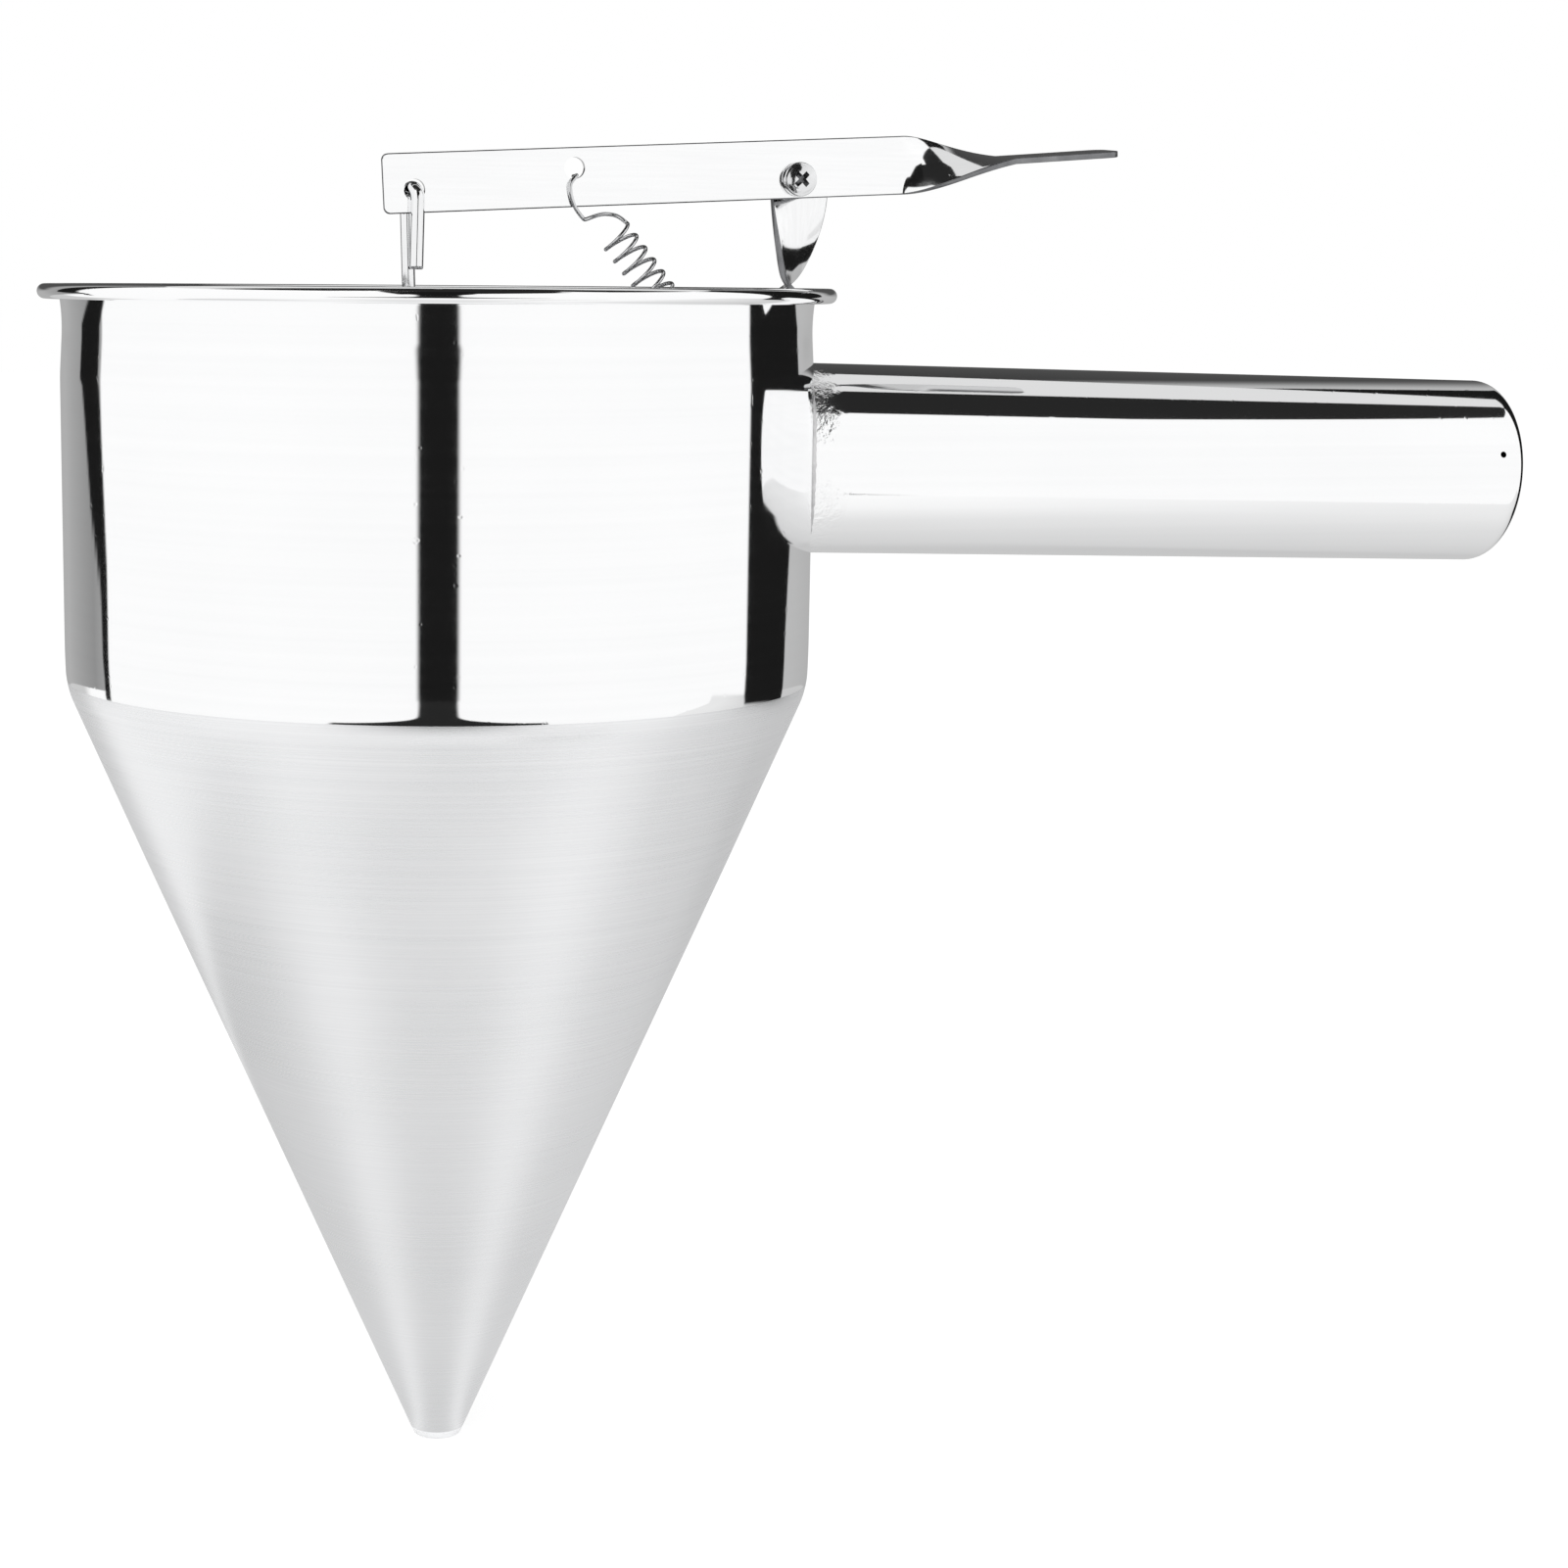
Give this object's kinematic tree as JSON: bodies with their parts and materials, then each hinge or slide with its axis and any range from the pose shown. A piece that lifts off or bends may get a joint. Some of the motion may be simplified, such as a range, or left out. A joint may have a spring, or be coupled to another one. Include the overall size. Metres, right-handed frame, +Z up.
{
  "type": "batter dispenser",
  "caption": "Funnel cup with a long cone and a tube handle; a sprung thumb lever lifts a plug on a rod to let batter out of the nozzle.",
  "frame": {"origin": "on the cup's axis, in the middle of the plain wall between the handle's root and the shoulder", "axes": "+Z up along the cup's axis, +X from the axis towards the handle; the screw's head faces -Y"},
  "size_m": [0.2562, 0.1288, 0.2197],
  "materials": {
    "polished_steel": "mirror polished",
    "satin_steel": "satin, fine rings round the axis",
    "strip_steel": "bright strip",
    "rod_steel": "bright drawn",
    "screw_steel": "bright",
    "spring_steel": "drawn wire",
    "weld_steel": "dull, ground"
  },
  "bodies": {
    "root": {"cup_shell": "polished_steel", "cone_shell": "satin_steel", "handle_tube": "polished_steel", "handle_end_cap": "polished_steel", "handle_weld": "weld_steel", "bracket": "strip_steel", "bracket_welds": "weld_steel", "pivot_screw": "screw_steel", "pivot_spacer": "screw_steel", "pivot_nut": "screw_steel", "return_spring": "spring_steel"},
    "lever": {"lever": "strip_steel"},
    "plunger": {"plunger_rod": "rod_steel", "plunger_plug": "rod_steel"}
  },
  "joints": [
    {"name": "lever_pivot", "type": "hinge", "parent": "root", "child": "lever", "pos_m": [0.0602, -0.0019, 0.07125], "axis": [0, 1, 0], "range_deg": [0, 35], "stiffness_Nm_per_rad": 0.5, "springref_deg": -22.92, "deforming": ["return_spring"]},
    {"name": "rod_swing", "type": "hinge", "parent": "lever", "child": "plunger", "pos_m": [-0.00477, -0.0019, 0.06897], "axis": [0, 1, 0], "range_deg": [-33, 0]}
  ],
  "couplings": [
    {"joint": "rod_swing", "follows": "lever_pivot", "ratio": -0.94}
  ]
}
